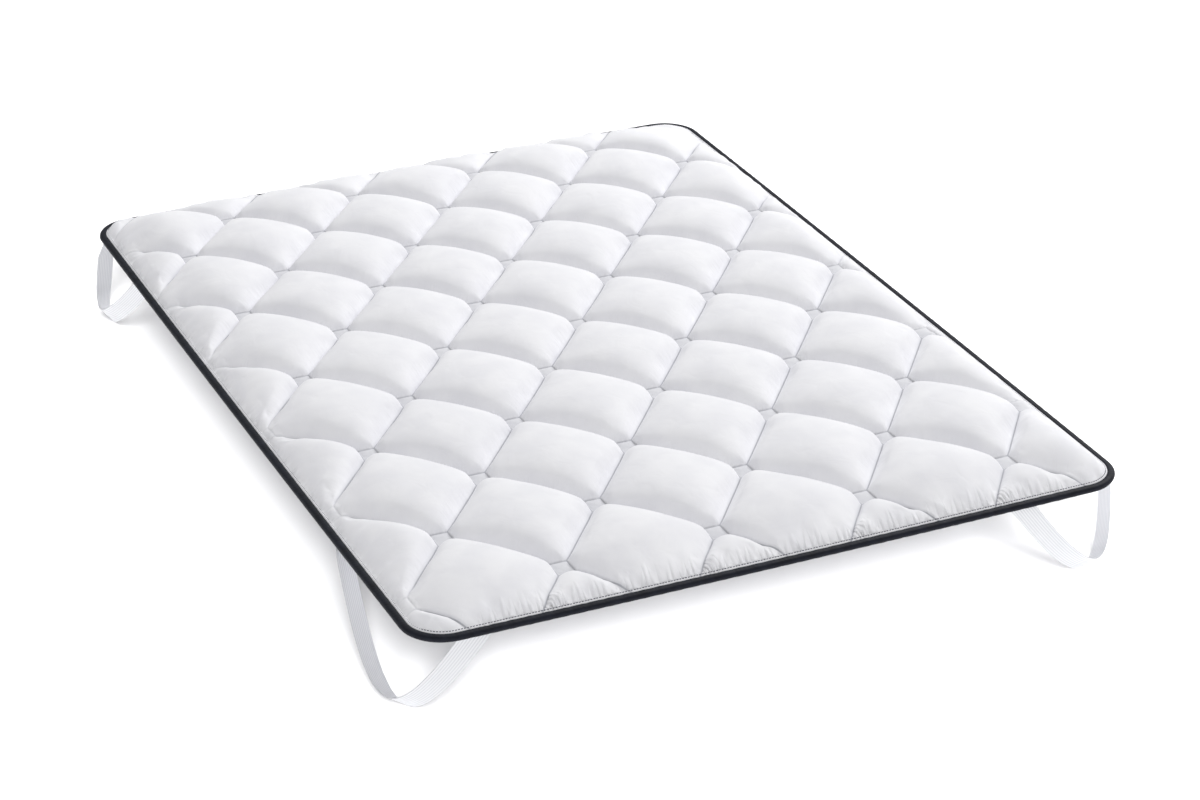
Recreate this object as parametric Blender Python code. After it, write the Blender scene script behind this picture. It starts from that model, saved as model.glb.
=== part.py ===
"""Quilted mattress topper with a bound edge and an elastic strap at each corner.

Metres, +Z up, +Y towards the far end.  The origin is the middle of the footprint, on the surface
that the strap loops stand on.
"""
import math
from collections import namedtuple

import bmesh
import bpy
from mathutils import Vector
from mathutils.geometry import interpolate_bezier

# Driving sizes
WIDTH = 1.370            # left to right over the binding, at the corners
LENGTH = 1.900           # near end to far end over the binding, at the corners
RIM_HEIGHT = 0.178       # middle of the binding above the surface below
CORNER_RADIUS = 0.078
SIDE_BOW = 0.003         # how far the middle of a long side stands out from its corners
END_BOW = 0.005          # the same for the near and far ends
HALF_WIDTH = WIDTH / 2
HALF_LENGTH = LENGTH / 2

# Steps round the outline
CORNER_STEPS = 6
SIDE_STEPS = 9
END_STEPS = 7

# Pad: heights are over the middle of the binding, insets are from the outline
RIM_TOP = 0.0039         # half the squeezed edge that the binding folds over
RIM_INSET = 0.0044
TOP_INSET = 0.0150       # where the top face rises out of the binding
CHANNEL_HEIGHT = 0.018
CHANNEL_RISE = 0.035     # distance from the binding over which a channel climbs to its height
CLIMB_BEND = 3.0         # how sharply that climb bends: 1 is straight
PUFF_HEIGHT = 0.040      # middle of a cell over its channels
PUFF_BEND = 4.0          # how sharply a cell's sides bend
PUFF_RISE = 0.120        # distance from the binding over which a cell reaches its height
EDGE_BEND = 1.3          # how sharply it bends there
PILLOW_HEIGHT = 0.004    # middle of the small square at a crossing
UNDERSIDE_DROP = 0.0058
UNDERSIDE_INSET = 0.0170
REST_INSET = 0.170       # the underside's middle face starts this far in, clear of the sewn straps
REST_DROP = 0.0004       # how far that face lies below the underside's edge
SIDE_ROWS = (0.024, 0.040, 0.070)        # insets where the steep sides get a row of points
SLIVER = 0.004           # points nearer than this beside the rows and the trimmed edge are joined
ON_CUT = 0.00001         # points nearer than this to a cut count as lying on it

# Quilting: channels run along every whole a and every whole b of a slanting lattice
FIRST_CROSSING = (0.0206, 0.1147)        # from the near left corner
CELL_WIDTH = 0.2909
CELL_LENGTH = 0.3649
WIDTH_CLOSING = 0.0027   # how much the rows draw together towards the far end
LENGTH_CLOSING = 0.0076
WIDTH_LEAN = 0.0015      # how much the rows lean to the left, and the columns bow to the far end
LENGTH_BOW = 0.0009
SQUARE = 0.12            # half a small square, as a share of a cell's side
KNOTS = (0.0, 0.12, 0.3, 0.5, 0.7, 0.88)
KNOT_MATCH = 0.01        # less than half the step between knots
FIRST_CELL = -6
LAST_CELL = 11

# Binding: a folded tape, as (inset, height) from its top lip to the fold, outside and inside
TAPE_OUTSIDE = ((0.0140, 0.0055), (0.0080, 0.0058), (0.0030, 0.0052), (0.0007, 0.0030), (0.0, 0.0))
TAPE_INSIDE = ((0.0140, 0.0042), (0.0080, 0.0044), (0.0037, 0.0041), (0.0019, 0.0024), (0.0014, 0.0))

# Straps
STRAP_WIDTH = 0.040
STRAP_THICKNESS = 0.0016
SEWN_GAP = 0.0004        # between a sewn end and the underside
TAB_LENGTH = 0.032       # end sewn flat under the pad
FOLD_LENGTH = 0.008      # stretch on each side of a fold that is rounded
FOLD_STEPS = 4
LOOP_STEPS = 18
SKEW_FADE = 0.35         # share of the loop over which its ends turn square to its run
FLOOR_PRESS = 0.0010     # how much of the lowest edge is pressed flat
TUCK_INSET = 0.004       # the sewn folds stay this far inside the edge
TUCK_SLOPE = 0.25        # and the strap spreads outwards this fast below them

# One loop for each corner.  Places are (along, inward, height): along runs from the corner beside
# the edge that holds the long end, inward is square to that edge, height is over the binding.
# A pull is the handle that draws the loop's curve down from an end, a turn is where the tape's
# width points there, in degrees from along towards inward, and a tilt is how far it dips.
Strap = namedtuple("Strap", "name side end long_edge long_end long_pull short_end short_pull "
                            "turns tilts")
STRAPS = (
    Strap("strap_near_left", -1, -1, "side", (0.410, 0.020), (-0.232, -0.030, -0.225),
          (0.023, 0.120), (0.010, -0.158, -0.202), (70, 94, 118), (-24, -33, -17)),
    Strap("strap_near_right", 1, -1, "end", (0.217, 0.014), (-0.150, -0.036, -0.218),
          (0.014, 0.069), (-0.020, 0.013, -0.204), (7, 62, 92), (-54, -40, -26)),
    Strap("strap_far_left", -1, 1, "side", (0.313, 0.018), (-0.235, -0.060, -0.233),
          (0.072, 0.012), (-0.092, 0.010, -0.177), (95, 112, 112), (-45, -47, 10)),
    Strap("strap_far_right", 1, 1, "side", (0.410, 0.020), (-0.232, -0.030, -0.225),
          (0.023, 0.120), (0.010, -0.158, -0.202), (70, 94, 118), (-24, -33, -17)),
)


def clear_scene():
    for item in list(bpy.data.objects):
        bpy.data.objects.remove(item, do_unlink=True)


def make_material(name, colour, roughness):
    material = bpy.data.materials.new(name)
    material.use_nodes = True
    shader = material.node_tree.nodes["Principled BSDF"]
    shader.inputs["Base Color"].default_value = (*colour, 1.0)
    shader.inputs["Roughness"].default_value = roughness
    shader.inputs["Metallic"].default_value = 0.0
    return material


def quilt_cloth():
    return make_material("brushed_white_cloth", (0.90, 0.90, 0.92), 0.85)


def binding_tape():
    return make_material("navy_woven_tape", (0.013, 0.015, 0.022), 0.60)


def strap_elastic():
    return make_material("white_ribbed_elastic", (0.77, 0.78, 0.80), 0.70)


def bowed(point):
    """The same point once the middle of each edge stands out a little."""
    side_share = point.x / HALF_WIDTH
    end_share = point.y / HALF_LENGTH
    x = point.x + SIDE_BOW * side_share * (1 - end_share ** 2)
    y = point.y + END_BOW * end_share * (1 - side_share ** 2)
    return Vector((x, y, point.z))


def finish_piece(bm, name, material, sharp_angle):
    """Close the piece's faces outwards, lift it to its place and make its object."""
    bmesh.ops.recalc_face_normals(bm, faces=bm.faces)
    for vert in bm.verts:
        vert.co = bowed(vert.co) + Vector((0, 0, RIM_HEIGHT))
        vert.co.z = max(vert.co.z, 0.0)
    mesh = bpy.data.meshes.new(name)
    bm.to_mesh(mesh)
    bm.free()
    mesh.materials.append(material)
    mesh.shade_smooth()
    mesh.set_sharp_from_angle(angle=math.radians(sharp_angle))
    piece = bpy.data.objects.new(name, mesh)
    bpy.context.scene.collection.objects.link(piece)
    return piece


def outline(inset):
    """Points round the rounded edge at one inset, anticlockwise."""
    radius = CORNER_RADIUS - inset
    corners = []
    for quarter, (side, end) in enumerate(((1, -1), (1, 1), (-1, 1), (-1, -1))):
        centre_x = side * (HALF_WIDTH - CORNER_RADIUS)
        centre_y = end * (HALF_LENGTH - CORNER_RADIUS)
        arc = []
        for step in range(CORNER_STEPS + 1):
            angle = math.pi / 2 * (quarter - 1 + step / CORNER_STEPS)
            arc.append(Vector((centre_x + radius * math.cos(angle),
                               centre_y + radius * math.sin(angle), 0.0)))
        corners.append(arc)
    points = []
    for quarter, arc in enumerate(corners):
        points += arc
        next_start = corners[(quarter + 1) % len(corners)][0]
        steps = END_STEPS if quarter % 2 else SIDE_STEPS
        points += [arc[-1].lerp(next_start, step / steps) for step in range(1, steps)]
    return points


def inset_at(x, y):
    """How far a point lies inside the rounded edge."""
    over_x = abs(x) - (HALF_WIDTH - CORNER_RADIUS)
    over_y = abs(y) - (HALF_LENGTH - CORNER_RADIUS)
    if over_x > 0 and over_y > 0:
        return CORNER_RADIUS - math.hypot(over_x, over_y)
    return CORNER_RADIUS - max(over_x, over_y)


def shoulder(share, bend):
    """Rise from 0 to 1 that is steep at first, as stuffed cloth is beside a seam."""
    return 1 - (1 - min(max(share, 0.0), 1.0)) ** bend


def lattice_place(a, b):
    """Where the quilting's point (a, b) lies on the pad."""
    column = (a + b) / 2
    row = (a - b) / 2
    x = FIRST_CROSSING[0] + CELL_WIDTH * column
    y = FIRST_CROSSING[1] + CELL_LENGTH * row
    x -= WIDTH_CLOSING * column * row + WIDTH_LEAN * row ** 2
    y += LENGTH_BOW * column ** 2 - LENGTH_CLOSING * row ** 2
    return Vector((x - WIDTH / 2, y - LENGTH / 2, 0.0))


def from_channel(value):
    """Distance to the nearest channel, in cells: 0 on it and 0.5 in the middle."""
    return abs(value - round(value))


def top_height(a, b, inset):
    """Height of the top face: channels, puffed cells and the small pillowed squares."""
    across = from_channel(a)
    along = from_channel(b)
    past_square = across + along - SQUARE
    climb = shoulder((inset - TOP_INSET) / CHANNEL_RISE, CLIMB_BEND)
    channel = RIM_TOP + (CHANNEL_HEIGHT - RIM_TOP) * climb
    puff = shoulder(2 * across, PUFF_BEND) * shoulder(2 * along, PUFF_BEND)
    puff *= shoulder(past_square / (0.5 - SQUARE), PUFF_BEND)
    pillow = max(-past_square / SQUARE, 0.0) * climb
    edge = shoulder((inset - TOP_INSET) / PUFF_RISE, EDGE_BEND)
    return channel + PUFF_HEIGHT * puff * edge + PILLOW_HEIGHT * pillow


def quilting_net(bm, a_layer, b_layer):
    """Flat net of the quilting, with an edge along each channel and round each small square."""
    marks = [cell + knot for cell in range(FIRST_CELL, LAST_CELL) for knot in KNOTS]
    rows = []
    for a in marks:
        row = []
        for b in marks:
            vert = bm.verts.new(lattice_place(a, b))
            vert[a_layer] = a
            vert[b_layer] = b
            row.append(vert)
        rows.append(row)
    for row, next_row in zip(rows, rows[1:]):
        for index in range(len(marks) - 1):
            bm.faces.new((row[index], next_row[index], next_row[index + 1], row[index + 1]))
    for face in list(bm.faces):
        ends = []
        for vert in face.verts:
            past_square = from_channel(vert[a_layer]) + from_channel(vert[b_layer]) - SQUARE
            if abs(past_square) < KNOT_MATCH:
                ends.append(vert)
        if len(ends) == 2:
            bmesh.utils.face_split(face, ends[0], ends[1])


def cut_side_rows(bm):
    """Cut rows of points into the net along all four sides."""
    for inset in SIDE_ROWS:
        for side in (-1, 1):
            for place, direction in (((side * (HALF_WIDTH - inset), 0, 0), (1, 0, 0)),
                                     ((0, side * (HALF_LENGTH - inset), 0), (0, 1, 0))):
                everything = bm.verts[:] + bm.edges[:] + bm.faces[:]
                bmesh.ops.bisect_plane(bm, geom=everything, dist=ON_CUT, plane_co=place,
                                       plane_no=direction)


def trim_to_outline(bm, inset):
    """Cut away the net outside the rounded edge and join points that lie too close."""
    ring = outline(inset)
    for start, end in zip(ring, ring[1:] + ring[:1]):
        run = end - start
        everything = bm.verts[:] + bm.edges[:] + bm.faces[:]
        bmesh.ops.bisect_plane(bm, geom=everything, dist=ON_CUT, plane_co=start,
                               plane_no=(run.y, -run.x, 0.0), clear_outer=True)
    edge_points = [vert for vert in bm.verts if vert.is_boundary]
    pairs = bmesh.ops.find_doubles(bm, verts=bm.verts, keep_verts=edge_points, dist=SLIVER)
    bmesh.ops.weld_verts(bm, targetmap=pairs["targetmap"])
    bmesh.ops.remove_doubles(bm, verts=bm.verts, dist=SLIVER)


def outward(edge):
    """Direction square to an open edge, away from the middle of the pad."""
    start, end = (vert.co for vert in edge.verts)
    square = Vector((end.y - start.y, start.x - end.x, 0.0)).normalized()
    return square if square.dot(start + end) > 0 else -square


def carry_edge(bm, distance, height):
    """Extrude the open edge outwards by a distance and set its height."""
    open_edges = [edge for edge in bm.edges if edge.is_boundary]
    bmesh.ops.extrude_edge_only(bm, edges=open_edges)
    moves = {}
    for edge in bm.edges:
        if edge.is_boundary:
            for vert in edge.verts:
                moves.setdefault(vert, []).append(outward(edge))
    for vert, (first, second) in moves.items():
        vert.co += (first + second) * distance / (1 + first.dot(second))
        vert.co.z = height


def close_underside(bm):
    """Fill the open edge round one plain face that lies on the mattress."""
    open_edges = [edge for edge in bm.edges if edge.is_boundary]
    reach_x = HALF_WIDTH - REST_INSET
    reach_y = HALF_LENGTH - REST_INSET
    corners = []
    for side, end in ((-1, -1), (-1, 1), (1, 1), (1, -1)):
        corners.append(bm.verts.new((side * reach_x, end * reach_y,
                                     -UNDERSIDE_DROP - REST_DROP)))
    rest_face = bm.faces.new(corners)
    bmesh.ops.triangle_fill(bm, use_beauty=True, use_dissolve=False, normal=(0.0, 0.0, -1.0),
                            edges=open_edges + rest_face.edges[:])


def topper_pad():
    bm = bmesh.new()
    a_layer = bm.verts.layers.float.new("a")
    b_layer = bm.verts.layers.float.new("b")
    quilting_net(bm, a_layer, b_layer)
    cut_side_rows(bm)
    trim_to_outline(bm, TOP_INSET)
    for vert in bm.verts:
        inset = TOP_INSET if vert.is_boundary else inset_at(vert.co.x, vert.co.y)
        vert.co.z = top_height(vert[a_layer], vert[b_layer], inset)
        if vert.is_boundary:
            vert.co.z = RIM_TOP
    bmesh.ops.triangulate(bm, faces=bm.faces[:])
    carry_edge(bm, TOP_INSET - RIM_INSET, RIM_TOP)
    carry_edge(bm, 0.0, -RIM_TOP)
    carry_edge(bm, RIM_INSET - TOP_INSET, -RIM_TOP)
    carry_edge(bm, TOP_INSET - UNDERSIDE_INSET, -UNDERSIDE_DROP)
    close_underside(bm)
    return finish_piece(bm, "topper_pad", quilt_cloth(), 60)


def loft(sections, closed):
    """Skin through sections of equal point counts, joined in a ring or capped at both ends."""
    bm = bmesh.new()
    rings = [[bm.verts.new(point) for point in section] for section in sections]
    following = rings[1:] + rings[:1] if closed else rings[1:]
    for ring, next_ring in zip(rings, following):
        for index in range(len(ring)):
            after = (index + 1) % len(ring)
            bm.faces.new((ring[index], ring[after], next_ring[after], next_ring[index]))
    if not closed:
        bm.faces.new(rings[0])
        bm.faces.new(rings[-1])
    return bm


def edge_binding():
    outside = list(TAPE_OUTSIDE) + [(inset, -height) for inset, height in TAPE_OUTSIDE[-2::-1]]
    inside = list(TAPE_INSIDE) + [(inset, -height) for inset, height in TAPE_INSIDE[-2::-1]]
    profile = outside + inside[::-1]
    rails = []
    for inset, height in profile:
        rails.append([point + Vector((0, 0, height)) for point in outline(inset)])
    sections = list(zip(*rails))
    return finish_piece(loft(sections, closed=True), "edge_binding", binding_tape(), 50)


def blend_three(values, share):
    """Smooth run through a start, a middle and an end value."""
    first, middle, last = values
    rest = 1 - share
    return (first * rest * (1 - 2 * share) + middle * 4 * share * rest
            + last * share * (2 * share - 1))


def loop_curve(strap):
    """Centre points, run directions and width directions along the hanging part of a strap."""
    top = -UNDERSIDE_DROP - SEWN_GAP - STRAP_THICKNESS / 2
    start = Vector((*strap.long_end, top))
    end = Vector((*strap.short_end, top))
    handles = (start, start + Vector(strap.long_pull), end + Vector(strap.short_pull), end)
    centres = interpolate_bezier(*handles, LOOP_STEPS + 1)
    runs = []
    widths = []
    for step, _ in enumerate(centres):
        before = centres[max(step - 1, 0)]
        after = centres[min(step + 1, LOOP_STEPS)]
        run = (after - before).normalized()
        turn = math.radians(blend_three(strap.turns, step / LOOP_STEPS))
        tilt = math.radians(blend_three(strap.tilts, step / LOOP_STEPS))
        width = Vector((math.cos(turn) * math.cos(tilt), math.sin(turn) * math.cos(tilt),
                        math.sin(tilt)))
        width = (width - run * width.dot(run)).normalized()
        runs.append(run)
        widths.append(width)
    return centres, runs, widths


def level_skew(run, width):
    """How far a section leans along the run for its line to lie level."""
    return -width.z / run.z


def strap_sections(strap):
    """Sections of the whole tape, from one sewn end round the loop to the other."""
    centres, runs, widths = loop_curve(strap)
    first_skew = level_skew(runs[0], widths[0])
    last_skew = level_skew(runs[-1], widths[-1])
    lines = []
    for step, (centre, run, width) in enumerate(zip(centres, runs, widths)):
        share = step / LOOP_STEPS
        skew = first_skew * max(1 - share / SKEW_FADE, 0) + last_skew * max(
            1 - (1 - share) / SKEW_FADE, 0)
        lines.append((centre, width + run * skew))
    lines = sewn_end(lines)
    lines = sewn_end(lines[::-1])
    sections = []
    for step, (centre, line) in enumerate(lines):
        before = lines[max(step - 1, 0)][0]
        after = lines[min(step + 1, len(lines) - 1)][0]
        face = (after - before).cross(line).normalized()
        half_line = line * STRAP_WIDTH / 2
        half_face = face * STRAP_THICKNESS / 2
        sections.append([centre + half_line + half_face, centre - half_line + half_face,
                         centre - half_line - half_face, centre + half_line - half_face])
    return sections


def sewn_end(lines):
    """Add a rounded fold and a level tab before the first line of the loop."""
    corner, level_line = lines[0]
    below = lines[1][0]
    level_line = Vector((level_line.x, level_line.y, 0.0))
    fold_axis = level_line.normalized()
    fall = below - corner
    slide = fold_axis * fall.dot(fold_axis)
    inward = Vector((-fold_axis.y, fold_axis.x, 0.0))
    if inward.dot(Vector((1.0, 1.0, 0.0))) < 0:
        inward = -inward
    back = (inward * (fall - slide).length - slide).normalized()
    fold_start = corner + back * FOLD_LENGTH
    fold_end = corner + fall.normalized() * FOLD_LENGTH
    fold = interpolate_bezier(fold_start, corner, corner, fold_end, FOLD_STEPS + 1)
    tab = [corner + back * TAB_LENGTH]
    return [(point, level_line) for point in tab + fold] + lines[1:]


def corner_place(strap, point):
    """A strap's (along, inward, height) point in the pad's own directions."""
    along, inward, height = point
    across, lengthwise = (inward, along) if strap.long_edge == "side" else (along, inward)
    return Vector((strap.side * (HALF_WIDTH - across), strap.end * (HALF_LENGTH - lengthwise),
                   height))


def tuck_in(row, top):
    """How far a section moves in so that the sewn fold stays under the pad's edge."""
    reach = TUCK_INSET + TUCK_SLOPE * (max(point.z for point in row) - top)
    return Vector((max(reach - min(point.x for point in row), 0.0),
                   max(reach - min(point.y for point in row), 0.0), 0.0))


def corner_strap(strap):
    sections = strap_sections(strap)
    top = -UNDERSIDE_DROP - SEWN_GAP
    lowest = min(point.z for section in sections for point in section)
    stretch = (RIM_HEIGHT + FLOOR_PRESS + top) / (top - lowest)
    placed = []
    for section in sections:
        row = []
        for point in section:
            hung = Vector(point)
            if point.z < top - STRAP_THICKNESS:
                hung.z = top + (point.z - top) * stretch
            row.append(hung)
        tuck = tuck_in(row, top)
        placed.append([corner_place(strap, point + tuck) for point in row])
    return finish_piece(loft(placed, closed=False), strap.name, strap_elastic(), 50)


def main():
    clear_scene()
    topper_pad()
    edge_binding()
    for strap in STRAPS:
        corner_strap(strap)


main()
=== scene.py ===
"""Looks for a quilted mattress topper with a bound edge and an elastic strap loop at each corner.

Metres, +Z up, +Y towards the far end.  The cloth of the pad, its binding, its stitching and the
straps are made again here in fine detail, in the places of their plain solids.
"""
import math

import bmesh
import bpy
from mathutils import Matrix, Vector
from mathutils.geometry import interpolate_bezier


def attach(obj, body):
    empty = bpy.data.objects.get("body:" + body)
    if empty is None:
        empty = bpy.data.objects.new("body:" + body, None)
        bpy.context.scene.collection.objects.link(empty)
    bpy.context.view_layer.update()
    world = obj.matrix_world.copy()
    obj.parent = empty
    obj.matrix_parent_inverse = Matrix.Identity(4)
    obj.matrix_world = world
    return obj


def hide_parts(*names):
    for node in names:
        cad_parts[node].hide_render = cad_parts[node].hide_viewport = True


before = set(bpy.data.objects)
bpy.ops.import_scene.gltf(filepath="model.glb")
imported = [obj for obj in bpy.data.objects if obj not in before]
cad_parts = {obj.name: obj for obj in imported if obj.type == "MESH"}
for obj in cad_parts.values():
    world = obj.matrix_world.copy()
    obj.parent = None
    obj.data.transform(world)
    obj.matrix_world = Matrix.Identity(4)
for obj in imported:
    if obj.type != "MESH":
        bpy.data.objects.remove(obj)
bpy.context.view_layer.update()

# The pad's own sizes
WIDTH = 1.370
LENGTH = 1.900
RIM_HEIGHT = 0.178       # middle of the binding above the floor
CORNER_RADIUS = 0.078
SIDE_BOW = 0.003         # how far the middle of a long side stands out from its corners
END_BOW = 0.005
HALF_WIDTH = WIDTH / 2
HALF_LENGTH = LENGTH / 2
CORNER_X = HALF_WIDTH - CORNER_RADIUS
CORNER_Y = HALF_LENGTH - CORNER_RADIUS

# Quilting: seams run along every whole a and every whole b of a slanting lattice
FIRST_CROSSING = (0.0206, 0.1147)
CELL_WIDTH = 0.2909
CELL_LENGTH = 0.3649
WIDTH_CLOSING = 0.0027
LENGTH_CLOSING = 0.0076
WIDTH_LEAN = 0.0015
LENGTH_BOW = 0.0009
SQUARE = 0.12            # half a small square, as a share of a cell's side
FIRST_A = -1
FIRST_B = -6
CELLS_A = 12
CELLS_B = 11
KNOTS = (0.0, 0.024, 0.06, 0.096, 0.12, 0.18, 0.27, 0.38, 0.5, 0.62, 0.73, 0.82, 0.88, 0.904,
         0.94, 0.976)
KNOT_MATCH = 0.01
SEAM_MATCH = 0.004       # points nearer a seam than this, in cells, are sewn to it
ON_LINE = 0.0001

# Shape of the top face: heights are over the middle of the binding, insets from the outline
RIM_TOP = 0.0039
RIM_INSET = 0.0044
TOP_INSET = 0.0150
STITCH_INSET = 0.0178    # row of stitches beside the binding, where the cloth starts to rise
CHANNEL_HEIGHT = 0.018
CHANNEL_RISE = 0.033
CLIMB_BEND = 3.0
PUFF_HEIGHT = 0.046
PUFF_ROUND = 0.80        # lower is steeper beside the seams
CORNER_FILL = 1.6        # higher fills a puff's corners more
SQUARE_REACH = 0.30
NEAR_RISE = 0.100        # how far in the puffs reach their full height, at the near edge
LEFT_RISE = 0.095
RIGHT_RISE = 0.088
FAR_RISE = 0.150
FLAT_CORNER = 3.2        # how many times farther in that is at the far right corner
EDGE_BEND = 1.5
CORNER_HOLD = 0.60       # how much lower the puffs stay where two edges hold them
SEAM_NOTCH = 0.0025      # how far the thread pulls the cloth down along a seam
NOTCH_START = 0.02       # and over how much of a cell it starts beside a small square
PILLOW_HEIGHT = 0.0045
PILLOW_ROUND = 0.7
UNDERSIDE_DROP = 0.0058
UNDERSIDE_INSET = 0.0170
FINE_INSET = 0.045       # the cloth nearer the binding than this is cut finer, for its gathers

# Stuffing the cloth
STUFF_FRAMES = 16
STUFF_LIMIT = 0.004      # how far the filling may move a point
CLOTH_SETTINGS = {
    "quality": 4, "mass": 0.2, "tension_stiffness": 18, "compression_stiffness": 18,
    "shear_stiffness": 8, "bending_stiffness": 0.8, "vertex_group_mass": "held",
    "pin_stiffness": 50, "use_pressure": True, "uniform_pressure_force": 1.2,
    "shrink_min": -0.012,    # the cloth is cut this much larger than the shape it covers
}

# Gathers beside the binding.  Each edge starts counting elsewhere, so that no two look alike.
SIDE_START = 0.31
END_START = 0.77
GATHER_PITCH = 0.0125
GATHER_DEPTH = 0.0023
SCALLOP_DEPTH = 0.0016
SCALLOP_REACH = 0.11
CORNER_CALM = (0.05, 0.16)   # how far from a corner the gathers start, and are full
SIDE_CALM = 0.16             # how much of them the long sides lack
CALM_SHIFT = 0.08            # cloth without gathers is drawn as if it lay this much farther in
CRESCENT_PITCH = 0.0078
CRESCENT_DEPTH = 0.0022
PUCKER_DEPTH = 0.0009
SWELL_DEPTH = 0.0018     # soft unevenness of the filling
GRAIN_DEPTH = 0.00004
STRIP_TOP = 0.0060       # strip of cloth between the stitches and the binding
STITCH_HEIGHT = 0.0068

# Binding: a folded tape, as (inset, height) from its top lip round the fold
TAPE_OUTSIDE = ((0.0140, 0.0048), (0.0132, 0.0056), (0.0105, 0.0061), (0.0075, 0.0061),
                (0.0045, 0.0057), (0.0022, 0.0046), (0.0007, 0.0026), (0.0, 0.0))
TAPE_THICKNESS = 0.0009
TAPE_STEP = 0.008
TAPE_SPREAD = 1.6        # tape's length across a fold, for each metre of its height

# Stitches beside the binding
STITCH_PITCH = 0.0053
STITCH_LENGTH = 0.0036
STITCH_THICKNESS = 0.0013
SIDE_STITCH_SINK = 0.0010    # the stitches of the long sides lie deeper in the cloth

# Straps
STRAP_WIDTH = 0.040
STRAP_THICKNESS = 0.0016
SEWN_GAP = 0.0004
TAB_LENGTH = 0.032
FOLD_LENGTH = 0.008
FOLD_STEPS = 6
LOOP_STEPS = 90
SKEW_FADE = 0.35
FLOOR_PRESS = 0.0010
TUCK_INSET = 0.004       # the sewn folds stay this far inside the edge
TUCK_SLOPE = 0.25        # and the strap spreads outwards this fast below them
RIBS = 9
RIB_DEPTH = 0.00022
RIB_COLUMNS = 4          # points across one rib

# Name, side, end, edge of the long end, then (along, inward) of the long end, its pull, the short
# end, its pull, and the turns and tilts of the tape's width at its start, middle and end.
STRAP_COLUMNS = ("name", "side", "end", "long_edge", "long_end", "long_pull", "short_end",
                 "short_pull", "turns", "tilts")
NEAR_LEFT_LOOP = ("side", (0.410, 0.020), (-0.232, -0.030, -0.225), (0.023, 0.120),
                  (0.010, -0.158, -0.202), (70, 94, 118), (-24, -33, -17))
STRAPS = [dict(zip(STRAP_COLUMNS, row)) for row in (
    ("strap_near_left", -1, -1, *NEAR_LEFT_LOOP),
    ("strap_near_right", 1, -1, "end", (0.217, 0.014), (-0.150, -0.036, -0.218),
     (0.014, 0.069), (-0.020, 0.013, -0.204), (7, 62, 92), (-54, -40, -26)),
    ("strap_far_left", -1, 1, "side", (0.313, 0.018), (-0.235, -0.060, -0.233),
     (0.072, 0.012), (-0.092, 0.010, -0.177), (95, 112, 112), (-45, -47, 10)),
    ("strap_far_right", 1, 1, *NEAR_LEFT_LOOP),
)]

# Studio light
WORLD_STRENGTH = 0.50
KEY_PLACE = (6.4, 3.9, 7.4)
KEY_SIZE = (5.5, 5.5)
KEY_POWER = 705.0
FRONT_PLACE = (-3.4, -6.0, 3.0)
FRONT_SIZE = (4.0, 4.0)
FRONT_POWER = 60.0
LIGHT_TARGET = (0, 0, 0.2)
FLOOR_FILL = 9.2
FLOOR_FILL_RUN = (0.26, 0.86, -0.64)
FLOOR_FILL_ANGLE = math.radians(19)

# Camera: its own axes and place
CAMERA_PLACE = (-2.3172, -5.4849, 3.0561)
CAMERA_RIGHT = (0.91463, -0.40410, -0.01281)
CAMERA_DOWN = (-0.19240, -0.40718, -0.89286)
CAMERA_FORWARD = (0.35558, 0.81910, -0.45016)
CAMERA_LENS = 101.98

SMOOTH = {"interpolation_type": "SMOOTHSTEP"}


def linear(hex_colour):
    """An sRGB hex colour as the linear RGBA that shaders take."""
    channels = [int(hex_colour[place:place + 2], 16) / 255 for place in (0, 2, 4)]
    return (*[c / 12.92 if c <= 0.04045 else ((c + 0.055) / 1.055) ** 2.4 for c in channels], 1.0)


def add_node(tree, kind, settings=None, values=None, links=None, stops=()):
    """Add one node with its settings, socket values, the sockets that feed it and its colours."""
    node = tree.nodes.new("ShaderNode" + kind)
    for name, value in (settings or {}).items():
        setattr(node, name, value)
    for socket, value in (values or {}).items():
        node.inputs[socket].default_value = value
    for socket, source in (links or {}).items():
        tree.links.new(source, node.inputs[socket])
    for index, (position, colour) in enumerate(stops):
        node.color_ramp.elements[index].position = position
        node.color_ramp.elements[index].color = linear(colour)
    return node


def new_material(name, finish):
    """A new material, with the values of its finish set on the shader's own sockets."""
    material = bpy.data.materials.new(name)
    material.use_nodes = True
    tree = material.node_tree
    shader = tree.nodes["Principled BSDF"]
    for socket, value in finish.items():
        shader.inputs[socket].default_value = value
    return material, tree, shader


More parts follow.
